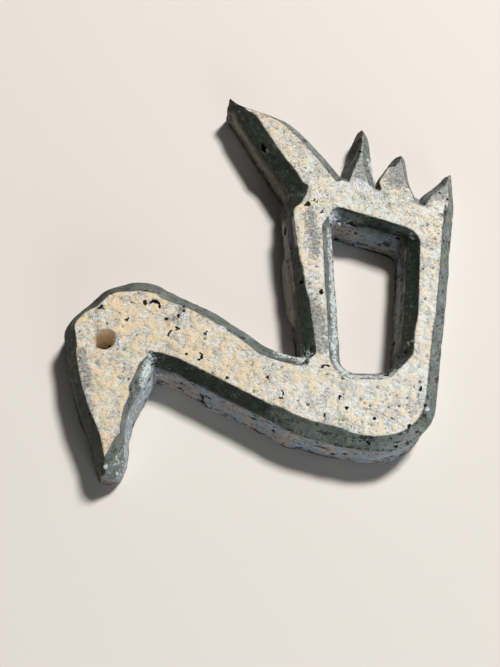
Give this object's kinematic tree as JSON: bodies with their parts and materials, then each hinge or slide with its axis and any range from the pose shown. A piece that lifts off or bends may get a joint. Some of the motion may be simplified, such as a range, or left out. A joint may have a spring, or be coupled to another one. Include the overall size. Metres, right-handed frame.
{
  "type": "swan figurine",
  "caption": "Flat fired-clay swan cut from a thick slab: curved neck, drilled eye, raised pointed wing, pierced body, feathered tail and chamfered edges.",
  "frame": {"origin": "on the underside, below the centre of the bounding box", "axes": "+Z out of the face, +Y from the belly to the raised wing, +X from the head to the tail"},
  "size_m": [0.092, 0.1012, 0.0106],
  "materials": {
    "clay": "pitted cream face, dark green-grey patina on the chamfers and sides"
  },
  "bodies": {
    "root": {"swan": "clay"}
  },
  "joints": []
}
